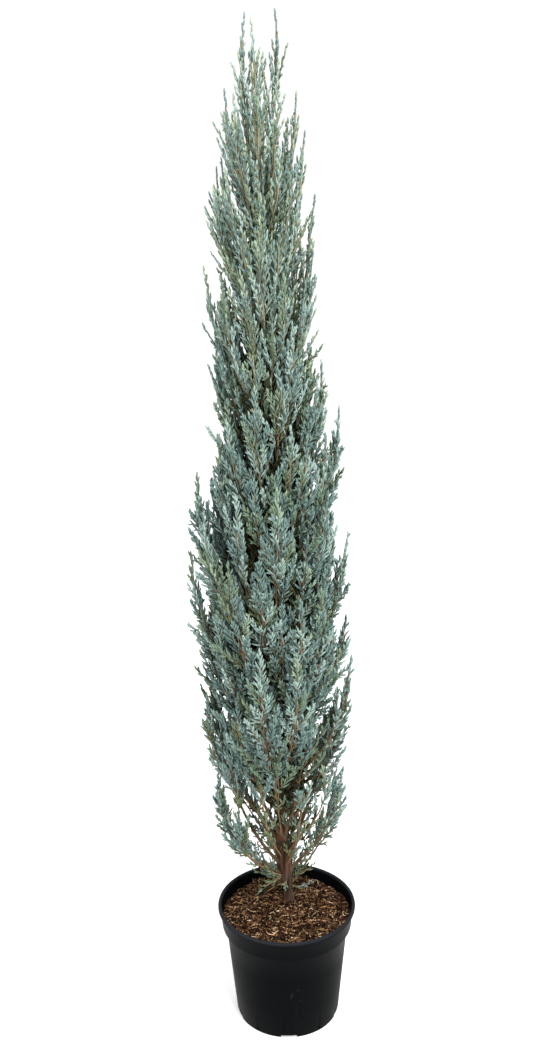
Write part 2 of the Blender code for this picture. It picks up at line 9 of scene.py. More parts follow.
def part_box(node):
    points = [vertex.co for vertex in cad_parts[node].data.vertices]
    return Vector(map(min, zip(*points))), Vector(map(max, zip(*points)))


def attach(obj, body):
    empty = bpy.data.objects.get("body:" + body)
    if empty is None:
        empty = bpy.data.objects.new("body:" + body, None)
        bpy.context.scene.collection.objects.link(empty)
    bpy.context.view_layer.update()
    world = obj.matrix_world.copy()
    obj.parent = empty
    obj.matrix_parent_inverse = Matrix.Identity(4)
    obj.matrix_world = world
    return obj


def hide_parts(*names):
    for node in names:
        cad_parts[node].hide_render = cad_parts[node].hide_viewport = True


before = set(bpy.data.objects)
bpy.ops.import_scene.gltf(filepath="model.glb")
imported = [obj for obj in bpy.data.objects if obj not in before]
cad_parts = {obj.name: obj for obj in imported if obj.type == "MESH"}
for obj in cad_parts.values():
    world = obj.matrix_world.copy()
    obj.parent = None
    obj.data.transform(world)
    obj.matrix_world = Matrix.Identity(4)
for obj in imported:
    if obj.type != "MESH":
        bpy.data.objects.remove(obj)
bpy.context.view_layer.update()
print("frame:", len(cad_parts), "solids")

goldenTurn = math.radians(137.508)
potLow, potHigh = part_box("pot")
trunkLow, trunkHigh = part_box("trunk")


# shader maths, written out as sums


class Wire:
    def __init__(self, paint, socket):
        self.paint = paint
        self.socket = socket

    def __add__(self, other):
        return self.paint.maths("ADD", self, other)

    def __sub__(self, other):
        return self.paint.maths("SUBTRACT", self, other)

    def __mul__(self, other):
        return self.paint.maths("MULTIPLY", self, other)

    def __rsub__(self, other):
        return self.paint.maths("SUBTRACT", other, self)

    __radd__ = __add__
    __rmul__ = __mul__


class Paint:
    def __init__(self, name, roughness=0.8, **uniform):
        self.material = bpy.data.materials.new(name)
        self.material.use_nodes = True
        self.tree = self.material.node_tree
        self.shader = self.tree.nodes["Principled BSDF"]
        self.shader.inputs["Roughness"].default_value = roughness
        for socket, value in uniform.items():
            self.shader.inputs[socket.replace("_", " ")].default_value = value
        self.place = self.node("ShaderNodeTexCoord", {}, {}, "Object")

    # any node: its settings are set first, then the values or links of its sockets
    def node(self, kind, settings, inputs, output=0):
        made = self.tree.nodes.new(kind)
        for key, value in settings.items():
            if key == "stops":
                self.setStops(made.color_ramp, value)
            else:
                setattr(made, key, value)
        for key, value in inputs.items():
            if isinstance(value, Wire):
                self.tree.links.new(value.socket, made.inputs[key])
            else:
                made.inputs[key].default_value = value
        return Wire(self, made.outputs[output])

    def setStops(self, ramp, stops):
        while len(ramp.elements) < len(stops):
            ramp.elements.new(0.5)
        for element, (place, colour) in zip(ramp.elements, stops):
            element.position = place
            element.color = (*(colour if isinstance(colour, tuple) else (colour,) * 3), 1.0)

    def maths(self, operation, first, second):
        return self.node("ShaderNodeMath", {"operation": operation}, {0: first, 1: second})

    # grain at so many lumps a metre, squeezed or stretched by its scale
    def grain(self, perMetre, detail=3.0, stretch=(1.0, 1.0, 1.0)):
        where = self.node("ShaderNodeMapping", {}, {"Vector": self.place, "Scale": stretch})
        sockets = {"Vector": where, "Scale": perMetre, "Detail": detail}
        return self.node("ShaderNodeTexNoise", {}, sockets)

    def ramp(self, mask, stops, output="Color"):
        return self.node("ShaderNodeValToRGB", {"stops": stops}, {"Fac": mask}, output)

    def shades(self, mask, places, colours):
        return self.ramp(mask, list(zip(places, colours)))

    def mix(self, mask, first, second):
        def full(colour):
            return colour if isinstance(colour, Wire) else (*colour, 1.0)

        sockets = {0: mask, 6: full(first), 7: full(second)}
        return self.node("ShaderNodeMix", {"data_type": "RGBA"}, sockets, 2)

    # the shade dealt to each splinter when it was scattered
    def dealt(self):
        return self.node("ShaderNodeAttribute", {"attribute_name": "shade"}, {}, "Fac")

    def height(self):
        return self.node("ShaderNodeSeparateXYZ", {}, {"Vector": self.place}, "Z")

    def colour(self, wire):
        self.tree.links.new(wire.socket, self.shader.inputs["Base Color"])

    def rough(self, wire):
        self.tree.links.new(wire.socket, self.shader.inputs["Roughness"])

    def bump(self, wire, depth, strength=0.6):
        sockets = {"Height": wire, "Distance": depth, "Strength": strength}
        normal = self.node("ShaderNodeBump", {}, sockets, "Normal")
        self.tree.links.new(normal.socket, self.shader.inputs["Normal"])


# keeps a piece with the part: what it stands for and which finish it has
def keep(piece, paint, slot, *nodes):
    piece.data.materials.clear()
    piece.data.materials.append(paint.material)
    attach(piece, "root")
    if nodes:
        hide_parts(*nodes)
    return piece


def settle():
    if bpy.context.object and bpy.context.object.mode != "OBJECT":
        bpy.ops.object.mode_set(mode="OBJECT")
    bpy.ops.object.select_all(action="DESELECT")


# a flat disc in edit mode, all of it selected
def startDisc(name, sides, radius, height):
    settle()
    bpy.ops.mesh.primitive_circle_add(
        vertices=sides, radius=radius, fill_type="NGON", location=(0, 0, height)
    )
    piece = bpy.context.object
    piece.name = name
    bpy.ops.object.mode_set(mode="EDIT")
    bpy.ops.mesh.select_mode(type="EDGE")
    bpy.ops.mesh.select_all(action="SELECT")
    return piece


def selectRim():
    bpy.ops.mesh.select_all(action="SELECT")
    bpy.ops.mesh.region_to_loop()


def closeSkin():
    bpy.ops.mesh.edge_face_add()
    bpy.ops.mesh.select_all(action="SELECT")
    bpy.ops.mesh.normals_make_consistent(inside=False)
    settle()


def smooth(t):
    t = min(1.0, max(0.0, t))
    return t * t * (3 - 2 * t)


def blend(first, second, share):
    return first + (second - first) * share


# reads a smooth line through pairs of a place and a size
def between(pairs, at):
    if at <= pairs[0][0]:
        return pairs[0][1]
    for (low, first), (high, second) in zip(pairs, pairs[1:]):
        if at <= high:
            return blend(first, second, smooth((at - low) / (high - low)))
    return pairs[-1][1]


def newObject(name, data):
    made = bpy.data.objects.new(name, data)
    bpy.context.scene.collection.objects.link(made)
    return made


def direction(angle):
    return Vector((math.cos(angle), math.sin(angle), 0.0))


def leaning(out, rise):
    return (out + Vector((0, 0, rise))).normalized()


# a direction square to the heading, turned round it
def sideways(heading, turn):
    side = heading.orthogonal().normalized()
    side.rotate(Matrix.Rotation(turn, 3, heading))
    return side


# a mesh straight from arrays of points and triangles
def meshFromArrays(name, points, triangles, isSmooth=True):
    mesh = bpy.data.meshes.new(name)
    count = len(triangles)
    mesh.vertices.add(len(points))
    mesh.vertices.foreach_set("co", points.astype(np.float32).ravel())
    mesh.loops.add(3 * count)
    mesh.loops.foreach_set("vertex_index", triangles.astype(np.int32).ravel())
    mesh.polygons.add(count)
    mesh.polygons.foreach_set("loop_start", np.arange(0, 3 * count, 3, dtype=np.int32))
    mesh.update(calc_edges=True)
    if isSmooth:
        mesh.shade_smooth()
    return newObject(name, mesh)


# the camera and the studio

camera = {"place": (-0.0242, -1.819, 1.464), "tiltDown": 17.2, "roll": -0.96, "lens": 41.17}


def buildCamera():
    turn = Matrix.Rotation(math.radians(90 - camera["tiltDown"]), 4, "X")
    roll = Matrix.Rotation(math.radians(camera["roll"]), 4, "Z")
    data = bpy.data.cameras.new("camera")
    data.sensor_width = 36.0
    data.lens = camera["lens"]
    shot = newObject("camera", data)
    shot.matrix_world = Matrix.Translation(camera["place"]) @ turn @ roll
    bpy.context.scene.camera = shot


studio = {
    "floorSize": 60.0,
    "floorColour": (0.80, 0.80, 0.80),
    "floorGlow": 0.30,
    "worldColour": (1.0, 1.0, 1.0),
    "worldStrength": 1.03,
    # place, aimed at, size, watts
    "softboxes": {
        "key": ((1.0, -2.0, 3.6), (0, 0, 0.8), 1.3, 150.0),
        "fill": ((-2.4, -1.9, 1.9), (0, 0, 0.8), 1.6, 16.0),
        "back": ((0.4, 2.2, 2.6), (0, 0, 1.0), 1.4, 14.0),
    },
}


def buildStudio():
    settle()
    bpy.ops.mesh.primitive_plane_add(size=studio["floorSize"], location=(0, 0, 0))
    floor = bpy.context.object
    floor.name = "floor"
    glow = {"Emission_Color": (1.0, 1.0, 1.0, 1.0), "Emission_Strength": studio["floorGlow"]}
    paint = Paint("studio floor", roughness=0.9, **glow)
    tint = paint.grain(3.0, detail=1.0)
    paler = tuple(0.985 * c for c in studio["floorColour"])
    paint.colour(paint.mix(tint, studio["floorColour"], paler))
    floor.data.materials.append(paint.material)
    world = bpy.data.worlds.new("studio")
    world.use_nodes = True
    sky = world.node_tree.nodes["Background"]
    sky.inputs["Color"].default_value = (*studio["worldColour"], 1.0)
    sky.inputs["Strength"].default_value = studio["worldStrength"]
    bpy.context.scene.world = world
    for name, (place, aim, size, watts) in studio["softboxes"].items():
        data = bpy.data.lights.new(name, "AREA")
        data.size = size
        data.energy = watts
        lamp = newObject(name, data)
        lamp.location = place
        away = Vector(place) - Vector(aim)
        lamp.rotation_euler = away.to_track_quat("Z", "Y").to_euler()
    bpy.context.scene.view_settings.view_transform = "Standard"


buildCamera()
buildStudio()
print("camera and studio")


# the pot

pot = {
    "height": potHigh.z,
    "rimRadius": potHigh.x,
    "lipDrop": 0.0075,
    "collarTopRadius": 0.1158,
    "collarRadius": 0.1132,
    "collarBottom": 0.174,
    "shoulderDrop": 0.007,
    "bodyRadius": 0.1056,
    "footRadius": 0.0904,
    "footRounding": 0.0028,
    "wall": 0.002,
    "floorHeight": 0.003,
    "sides": 120,
    "slots": 5,
    "slotSize": (0.014, 0.028, 0.012),
    "slotRounding": 0.0018,
    "holeRadius": 0.0025,
    "holeHeight": 0.0068,
    "holeLength": 0.012,
    # rings on the flat underside, in from its edge
    "underside": (0.004, 0.006),
    # the outside from the foot up: steps out from a radius and up from a level
    "outside": {
        ("footRadius", "ground"): ((-0.0008, 0.0008), (0, 0.0028), (0.0054, 0.060)),
        ("bodyRadius", "ground"): ((-0.0042, 0.120),),
        ("bodyRadius", "shoulder"): ((0, 0),),
        ("bodyRadius", "collarBottom"): ((0.0014, -0.0050),),
        ("collarRadius", "collarBottom"): ((-0.0026, -0.0026), (-0.0006, -0.0010), (0, 0.0014)),
        ("collarTopRadius", "lip"): ((-0.0004, -0.0022), (0.0006, -0.0008)),
        ("rimRadius", "lip"): ((-0.0016, 0), (-0.0003, 0.0012), (0, 0.0036)),
        ("rimRadius", "height"): (
            (-0.0006, -0.0014), (-0.0020, -0.0002), (-0.0034, 0),
            (-0.0048, -0.0005), (-0.0058, -0.0018),
        ),
    },
    # the inside down to the floor, a wall in from a radius
    "inside": {
        "collarTopRadius": ("lip", 0),
        "collarRadius": ("collarBottom", 0.002),
        "bodyRadius": ("shoulder", 0),
        "footRadius": ("floorHeight", 0),
    },
    "black": (0.0014, 0.0017, 0.0020),
    "cloudy": (0.0030, 0.0034, 0.0040),
    # the colour of the lip's painted highlight
    "lipHighlight": (0.0190, 0.0220, 0.0260),
    "dust": (0.012, 0.012, 0.011),
    "scratches": (0.020, 0.021, 0.020),
}
pot["ground"] = 0.0
pot["lip"] = pot["height"] - pot["lipDrop"]
pot["shoulder"] = pot["collarBottom"] - pot["shoulderDrop"]


# pulls the selected ring of edges out to a new radius and height, and levels it
def pullRing(ring, radius, height):
    oldRadius, oldHeight = ring
    rise = {"value": (0, 0, height - oldHeight)}
    bpy.ops.mesh.extrude_region_move(TRANSFORM_OT_translate=rise)
    share = radius / oldRadius
    bpy.ops.transform.resize(value=(share, share, 0), center_override=(0, 0, height))
    return radius, height


def potPaint():
    paint = Paint("black pot plastic", roughness=0.4, Specular_IOR_Level=0.02)
    clouds = paint.grain(9.0, detail=4.0)
    specks = paint.grain(420.0, detail=2.0)
    dust = paint.grain(38.0, detail=6.0, stretch=(1.0, 1.0, 0.45))
    scuff = paint.ramp(dust, [(0.62, 0.0), (0.80, 0.30)])
    marks = paint.grain(260.0, detail=3.0, stretch=(1.0, 1.0, 0.6))
    patches = paint.grain(16.0, detail=2.0)
    marks = paint.ramp(marks * 0.62 + patches * 0.38, [(0.640, 0.0), (0.700, 1.0)])
    black = paint.mix(clouds, pot["black"], pot["cloudy"])
    # the top few millimetres of the lip are painted paler: a painted highlight along the lip
    highlightBand = paint.ramp(paint.height() * 60.0 - 11.9, [(0.46, 0.0), (0.68, 1.0)])
    black = paint.mix(highlightBand * (0.5 + clouds * 0.5), black, pot["lipHighlight"])
    black = paint.mix(scuff, black, pot["dust"])
    paint.colour(paint.mix(marks, black, pot["scratches"]))
    paint.rough(paint.ramp(clouds * 0.7 + specks * 0.3, [(0.3, 0.36), (0.7, 0.50)]))
    paint.bump(specks * 0.3 + clouds * 0.7, 0.0006, 0.35)
    return paint


def buildPot():
    foot = pot["footRadius"] - pot["footRounding"]
    piece = startDisc("pot_shell", pot["sides"], foot, 0)
    for thickness in pot["underside"]:
        bpy.ops.mesh.inset(thickness=thickness)
    selectRim()
    ring = (foot, 0.0)
    for (radius, level), steps in pot["outside"].items():
        for out, up in steps:
            ring = pullRing(ring, pot[radius] + out, pot[level] + up)
    for radius, (level, up) in pot["inside"].items():
        ring = pullRing(ring, pot[radius] - pot["wall"], pot[level] + up)
    closeSkin()
    step = math.tau / pot["slots"]
    for number in range(pot["slots"]):
        turn = math.radians(270) + number * step
        cutSlot(piece, turn)
        cutHole(piece, turn + step / 2)
    settle()
    piece.select_set(True)
    bpy.context.view_layer.objects.active = piece
    bpy.ops.object.shade_smooth_by_angle(angle=math.radians(32))
    keep(piece, potPaint(), "pot_plastic", "pot")


def cutAway(piece, cutter):
    bpy.context.view_layer.objects.active = piece
    gouge = piece.modifiers.new("cut", "BOOLEAN")
    gouge.operation = "DIFFERENCE"
    gouge.object = cutter
    bpy.ops.object.modifier_apply(modifier=gouge.name)
    bpy.data.objects.remove(cutter)


def cutSlot(piece, turn):
    settle()
    place = direction(turn) * pot["footRadius"]
    bpy.ops.mesh.primitive_cube_add(size=1, location=place, rotation=(0, 0, turn))
    cutter = bpy.context.object
    cutter.scale = pot["slotSize"]
    rounding = cutter.modifiers.new("round", "BEVEL")
    rounding.width = pot["slotRounding"]
    rounding.segments = 3
    bpy.ops.object.transform_apply(location=False, rotation=False, scale=True)
    cutAway(piece, cutter)


def cutHole(piece, turn):
    settle()
    place = direction(turn) * pot["footRadius"] + Vector((0, 0, pot["holeHeight"]))
    bpy.ops.mesh.primitive_cylinder_add(
        vertices=28,
        radius=pot["holeRadius"],
        depth=pot["holeLength"],
        location=place,
        rotation=(0, math.pi / 2, turn),
    )
    cutAway(piece, bpy.context.object)


buildPot()
print("pot")


# the trunk's line and girth, by the source's rule

trunk = {
    "foot": Vector((0.0045, 0.030, trunkLow.z)),
    "tipHeight": trunkHigh.z,
    # the foot bends to the left up to the bend's height, the rest leans more and more
    "bend": 0.0145,
    "bendHeight": 0.15,
    "lean": 0.0175,
    "leanHeight": 1.08,
    "sway": 0.0032,
    "swayTurn": 7.4,
    "swayStart": 0.6,
    "swayHeight": 0.25,
    "middleHeight": 0.75,  # from here up it stands in the middle of the pot
    "flareHeight": 0.03,
    "lobes": 3,
    "lobeSwell": 0.12,
    "lobeTurn": 0.7,
    # height above the soil, radius
    "radii": (
        (0.000, 0.0098), (0.010, 0.0080), (0.030, 0.0076), (0.060, 0.0100),
        (0.085, 0.0120), (0.110, 0.0104), (0.150, 0.0074), (0.300, 0.0060),
        (0.700, 0.0042), (1.000, 0.0026), (1.234, 0.0013),
    ),
}


def trunkPoint(height):
    up = height - trunk["foot"].z
    higher = max(0.0, (up - trunk["bendHeight"]) / trunk["leanHeight"])
    lean = -trunk["bend"] * smooth(up / trunk["bendHeight"]) - trunk["lean"] * higher**1.5
    wave = math.sin(trunk["swayTurn"] * up + trunk["swayStart"])
    sway = trunk["sway"] * wave * smooth(up / trunk["swayHeight"])
    back = trunk["foot"].y * (1 - smooth(up / trunk["middleHeight"]))
    return Vector((trunk["foot"].x + lean + sway, back, height))


def trunkRadius(height):
    return between(trunk["radii"], height - trunk["foot"].z)


# a point inside the trunk on the side it is turned to
def insideTrunk(height, spoke, depth):
    return trunkPoint(height) + spoke * trunkRadius(height) * depth


# the potting mix: a lumpy top, bark chips and pale fibres lying on it

soil = {
    "edgeHeight": 0.189,
    "crownHeight": 0.194,
    "gap": 0.0003,
    "flatRadius": 0.045,
    "ripple": 0.0022,
    "lump": 0.0042,
    # lumps a metre, how high against the largest, and which slice of the noise
    "lumps": ((70, 1.0, 2.0), (190, 0.6, 5.0), (420, 0.35, 8.0)),
    "rings": 90,
    "sides": 200,
    "sideGap": 0.0006,
    "colours": ((0.003, 0.0015, 0.001), (0.013, 0.005, 0.002), (0.036, 0.016, 0.007)),
}


def soilEdge():
    share = (soil["edgeHeight"] - pot["collarBottom"]) / (pot["lip"] - pot["collarBottom"])
    swing = (pot["collarTopRadius"] - pot["collarRadius"]) * share
    return pot["collarRadius"] + swing - pot["wall"] - soil["gap"]


def fromTrunk(x, y):
    return math.hypot(x - trunk["foot"].x, y - trunk["foot"].y)


def soilTop(x, y):
    share = min(1.0, math.hypot(x, y) / soilEdge())
    turn = math.atan2(y, x)
    foot = fromTrunk(x, y)
    dome = (soil["crownHeight"] - soil["edgeHeight"]) * (1 - share**2)
    ripple = math.sin(3 * turn + 9 * share) + math.sin(7 * turn - 13 * share)
    rough = soil["edgeHeight"] + dome + 0.5 * soil["ripple"] * ripple * share
    settled = smooth((foot - soil["flatRadius"]) / soil["flatRadius"])
    height = blend(soil["crownHeight"], rough, settled)
    lumps = 0.0
    for perMetre, part, level in soil["lumps"]:
        lumps += part * noise.noise(Vector((x * perMetre, y * perMetre, level)))
    # flatter close to the trunk
    return height + soil["lump"] * lumps * min(1.0, 0.25 + foot / 0.02)


def soilPaint():
    paint = Paint("potting mix", roughness=0.92, Specular_IOR_Level=0.12)
    crumbs = paint.grain(300.0, detail=6.0)
    patches = paint.grain(45.0, detail=3.0)
    mask = crumbs * 0.75 + patches * 0.25
    paint.colour(paint.shades(mask, (0.36, 0.52, 0.68), soil["colours"]))
    paint.bump(crumbs, 0.0014, 0.9)
    return paint


# splinters, each a colour of its own with fine grain over it
def splinterPaint(finish):
    paint = Paint(finish, roughness=0.92, Specular_IOR_Level=0.12)
    grain = paint.grain(420.0, detail=3.0)
    mask = paint.dealt() + grain * 0.3 - 0.15
    paint.colour(paint.shades(mask, (0.15, 0.62, 0.96), mulch[finish]))
    paint.bump(grain, 0.0008, 0.7)
    return paint


def buildSoil():
    edge = soilEdge()
    piece = startDisc("potting_mix", soil["sides"], edge, soil["edgeHeight"])
    step = edge / soil["rings"]
    for ring in range(soil["rings"] - 2):
        bpy.ops.mesh.inset(thickness=step)
    bpy.ops.mesh.poke()
    bpy.ops.object.mode_set(mode="OBJECT")
    bpy.ops.object.transform_apply(location=True, rotation=False, scale=False)
    for vert in piece.data.vertices:
        vert.co.z = soilTop(vert.co.x, vert.co.y)
    # the side goes down inside the pot's wall and closes on its floor
    bpy.ops.object.mode_set(mode="EDIT")
    selectRim()
    ring = (edge, soil["edgeHeight"])
    ring = pullRing(ring, pot["bodyRadius"] - pot["wall"] - soil["sideGap"], pot["shoulder"])
    pullRing(ring, pot["footRadius"] - pot["wall"], pot["floorHeight"] + soil["gap"])
    closeSkin()
    piece.data.shade_smooth()
    keep(piece, soilPaint(), "potting_mix", "soil")


# what lies on the mix; tilts, widths and heights stray from splinter to splinter
mulch = {
    "trunkClear": 0.011,
    "wallClear": 0.0015,
    "tilt": 0.45,
    "widths": (0.6, 1.4),
    "heights": (0.7, 1.3),
    "taper": 0.45,  # at both ends
    # seed, count, shortest and longest, width, thickness, curl, bends, finish
    "kinds": {
        "crumbs": (11, 4600, (0.0030, 0.0095), 0.0020, 0.0022, 0.0, 1, "dark crumbs"),
        "chips": (12, 1500, (0.0060, 0.0165), 0.0019, 0.0016, 0.0, 1, "bark chips"),
        "fibres": (13, 900, (0.0060, 0.0240), 0.0012, 0.0012, 1.2, 3, "pale fibres"),
    },
    "dark crumbs": ((0.003, 0.0015, 0.001), (0.016, 0.007, 0.003), (0.070, 0.030, 0.013)),
    "bark chips": ((0.028, 0.011, 0.004), (0.112, 0.048, 0.018), (0.430, 0.235, 0.105)),
    "pale fibres": ((0.150, 0.075, 0.034), (0.360, 0.215, 0.110), (0.820, 0.600, 0.400)),
}


# one splinter's rings of three corners, from one end to the other
def splinterPoints(here, length, wide, high, lie, swing, tilt, spans):
    edge = soilEdge() - mulch["wallClear"]
    points = []
    for ring in range(spans + 2):
        share = ring / (spans + 1)
        bearing = lie + swing * (share - 0.5)
        along = Vector((math.cos(bearing), math.sin(bearing), tilt * (0.5 - share)))
        middle = here + along * length * (share - 0.5)
        # stays inside the pot's wall and off the soil
        away = math.hypot(middle.x, middle.y)
        if away > edge:
            middle.x *= edge / away
            middle.y *= edge / away
        middle.z = max(middle.z, soilTop(middle.x, middle.y) + 0.2 * high)
        taper = mulch["taper"] if ring in (0, spans + 1) else 1.0
        across = Vector((-math.sin(bearing), math.cos(bearing), 0)) * 0.5 * wide * taper
        rise = Vector((0, 0, 0.5 * high * taper))
        points += [middle - across - rise, middle + across - rise, middle + rise * 1.6]
    return points


# the faces round a three-sided stick of so many spans, open at its ends
def stickFaces(spans):
    faces = []
    for low in range(0, 3 * spans, 3):
        for corner in range(3):
            following = (corner + 1) % 3
            faces.append((low + corner, low + following, low + 3 + corner))
            faces.append((low + 3 + corner, low + following, low + 3 + following))
    return faces


def scatter(name, seed, count, lengths, width, thick, curl, spans, finish):
    chance = np.random.default_rng(seed)
    last = 3 * (spans + 1)
    faces = np.array(stickFaces(spans + 1) + [(2, 1, 0), (last, last + 1, last + 2)])
    points, triangles, shades = [], [], []
    for number in range(count):
        radius = soilEdge() * math.sqrt(chance.uniform(0, 0.985))
        turn = chance.uniform(0, math.tau)
        x, y = radius * math.cos(turn), radius * math.sin(turn)
        if fromTrunk(x, y) < mulch["trunkClear"]:
            continue
        length = chance.uniform(*lengths)
        lie = chance.uniform(0, math.tau)
        tilt = chance.normal(0, mulch["tilt"])
        swing = chance.normal(0, curl)
        wide = width * chance.uniform(*mulch["widths"])
        high = thick * chance.uniform(*mulch["heights"])
        here = Vector((x, y, soilTop(x, y) + 0.4 * high + 0.0004))
        shades += [chance.uniform()] * (last + 3)
        triangles.append(faces + len(points))
        points += splinterPoints(here, length, wide, high, lie, swing, tilt, spans)
    points = np.array([p[:] for p in points])
    piece = meshFromArrays(name, points, np.vstack(triangles), isSmooth=False)
    piece.data.attributes.new("shade", "FLOAT", "POINT").data.foreach_set("value", shades)
    keep(piece, splinterPaint(finish), "potting_mix")


buildSoil()
for name, kind in mulch["kinds"].items():
    scatter(name, *kind)
print("potting mix")


# how far the furthest tips reach from the trunk: height, to the left, to the right

crown = {
    "outline": (
        (0.30, 0.085, 0.080), (0.38, 0.102, 0.106), (0.46, 0.108, 0.106),
        (0.60, 0.126, 0.112), (0.72, 0.124, 0.120), (0.84, 0.122, 0.120),
        (0.94, 0.118, 0.102), (1.05, 0.094, 0.112), (1.14, 0.088, 0.092),
        (1.24, 0.088, 0.070), (1.38, 0.078, 0.088), (1.46, 0.064, 0.072),
        (1.55, 0.060, 0.058), (1.62, 0.028, 0.045), (1.66, 0.022, 0.038),
    ),
    "tipShare": 0.90,
    "slack": 1.10,
    "lowestPlume": 0.35,
    "plumes": (0.048, 0.038),  # width of the lowest and the highest
}


def crownMiddle(height):
    middle = trunkPoint(min(height, trunk["tipHeight"]))
    middle.z = height
    return middle


def crownReach(height, turn):
    left = between([(z, toLeft) for z, toLeft, _ in crown["outline"]], height)
    right = between([(z, toRight) for z, _, toRight in crown["outline"]], height)
    return 0.5 * (left + right) + 0.5 * (right - left) * math.cos(turn)


# limbs: direction in degrees, height of the fork, reach, height of the tip, how soon it
# turns upwards, and for a bough how much of it is bare and how thick it is

limbSizes = {
    "boughs": {
        "shoot_left": (168, 0.232, 0.078, 0.338, 2.6, 0.16, 0.0022),
        "shoot_right": (24, 0.226, 0.082, 0.346, 2.2, 0.16, 0.0022),
        "low_left": (190, 0.250, 0.106, 0.460, 2.7, 0.18, 0.0034),
        "low_right": (350, 0.256, 0.106, 0.462, 1.9, 0.20, 0.0036),
        "left": (202, 0.272, 0.088, 0.585, 2.6, 0.25, 0.0034),
        "right": (12, 0.280, 0.104, 0.600, 1.5, 0.25, 0.0040),
        "back_left": (128, 0.262, 0.098, 0.520, 2.2, 0.26, 0.0034),
        "back_right": (58, 0.270, 0.100, 0.540, 2.0, 0.26, 0.0034),
        "upper_left": (164, 0.318, 0.112, 0.640, 2.2, 0.25, 0.0040),
        "inner_left": (226, 0.336, 0.074, 0.600, 1.9, 0.25, 0.0032),
        "inner_right": (318, 0.322, 0.076, 0.610, 1.5, 0.25, 0.0034),
        "back": (93, 0.326, 0.096, 0.600, 1.9, 0.28, 0.0032),
    },
    "leaders": {
        "left_shoulder": (181, 0.700, 0.114, 0.985, 2.6, 0.044),
        "right_shoulder": (2, 0.790, 0.108, 1.085, 2.0, 0.042),
        "leader_left": (150, 1.352, 0.024, 1.650, 2.4, 0.034),
        "leader_middle": (255, 1.437, 0.012, 1.651, 1.0, 0.034),
        "leader_right": (12, 1.365, 0.033, 1.658, 1.6, 0.034),
    },
    # thin stems among the boughs: direction, fork, reach, tip, bow, bare share
    "wisps": (
        (214, 0.246, 0.090, 0.405, 2.6, 0.42), (246, 0.288, 0.078, 0.500, 2.2, 0.50),
        (150, 0.300, 0.108, 0.520, 2.4, 0.34), (338, 0.292, 0.098, 0.500, 1.8, 0.36),
        (300, 0.268, 0.080, 0.480, 2.0, 0.50), (36, 0.300, 0.104, 0.520, 1.9, 0.36),
        (268, 0.330, 0.066, 0.540, 1.7, 0.50), (184, 0.340, 0.116, 0.600, 2.2, 0.34),
        (2, 0.338, 0.112, 0.590, 1.8, 0.34), (80, 0.250, 0.086, 0.430, 2.4, 0.34),
        (356, 0.860, 0.084, 1.160, 2.0, 0.0), (232, 0.640, 0.084, 0.965, 2.0, 0.0),
        (226, 0.380, 0.092, 0.620, 2.0, 0.0), (6, 1.270, 0.058, 1.548, 1.6, 0.0),
        (350, 1.215, 0.066, 1.493, 2.0, 0.0), (4, 1.110, 0.078, 1.403, 2.0, 0.0),
        (0, 0.600, 0.118, 0.880, 2.0, 0.0), (182, 0.560, 0.128, 0.850, 2.0, 0.0),
        (350, 0.420, 0.126, 0.672, 2.2, 0.3), (184, 1.030, 0.086, 1.300, 1.7, 0.0),
    ),
    # spires round the trunk: the lowest, then the highest
    "spires": 27,
    "forks": (0.385, 1.325),
    "lengths": (0.325, 0.225),
    "startTurn": math.radians(262),
    # finer stems that fill the spaces between the spires
    "fillers": 80,
    "fillerForks": (0.43, 1.37),
    "fillerLengths": (0.27, 0.17),
    "fillerTries": 24,
    "fine": {"radius": 0.0016, "width": 0.034},  # wisps and fillers
    "bow": 2.0,
    "stemRadius": 0.0022,
    "tipRadius": 0.0007,
}


def plumeWidth(height):
    low = crown["lowestPlume"]
    share = min(1.0, max(0.0, (height - low) / (trunk["tipHeight"] - low)))
    return blend(*crown["plumes"], share)


class Limb:
    def __init__(self, name, turn, fork, reach, tip, bow, bare=0.0, radius=None, width=None):
        self.name, self.turn, self.fork, self.tip = name, turn, fork, tip
        self.bow, self.bare = bow, bare
        self.radius = radius or limbSizes["stemRadius"]
        self.width = width or plumeWidth(fork)
        grain = (trunkPoint(fork + 0.005) - trunkPoint(fork - 0.005)).normalized()
        outwards = direction(turn)
        spoke = (outwards - outwards.dot(grain) * grain).normalized()
        # the dressed limb starts inside the trunk, so that no gap shows
        self.start = insideTrunk(fork, spoke, 0.6)
        if fork > trunk["tipHeight"]:
            self.start = trunkPoint(trunk["tipHeight"]) - Vector((0, 0, 0.004))
        end = crownMiddle(tip) + outwards * reach
        self.swing = Vector((end.x - self.start.x, end.y - self.start.y, 0.0))

    def point(self, share):
        out = 1 - (1 - share) ** self.bow
        rise = Vector((0, 0, (self.tip - self.fork) * share))
        return self.start + self.swing * out + rise

    def heading(self, share):
        ahead = self.point(min(1, share + 0.01))
        return (ahead - self.point(max(0, share - 0.01))).normalized()

    def girth(self, share):
        return blend(limbSizes["tipRadius"], self.radius, 1 - share**0.8)


def allLimbs():
    limbs = []
    for name, (turn, *row) in limbSizes["boughs"].items():
        limbs.append(Limb(name, math.radians(turn), *row))
    for number in range(limbSizes["spires"]):
        share = number / (limbSizes["spires"] - 1)
        chance = random.Random(f"limb {number}")
        fork = blend(*limbSizes["forks"], share)
        turn = limbSizes["startTurn"] + number * goldenTurn + chance.uniform(-0.12, 0.12)
        tip = fork + blend(*limbSizes["lengths"], share) * chance.uniform(0.94, 1.06)
        reach = crown["tipShare"] * crownReach(tip, turn) * chance.uniform(0.92, 1.06)
        limbs.append(Limb(f"spire_{number + 1:02d}", turn, fork, reach, tip, limbSizes["bow"]))
    for name, (turn, *row, width) in limbSizes["leaders"].items():
        limbs.append(Limb(name, math.radians(turn), *row, width=width))
    return limbs


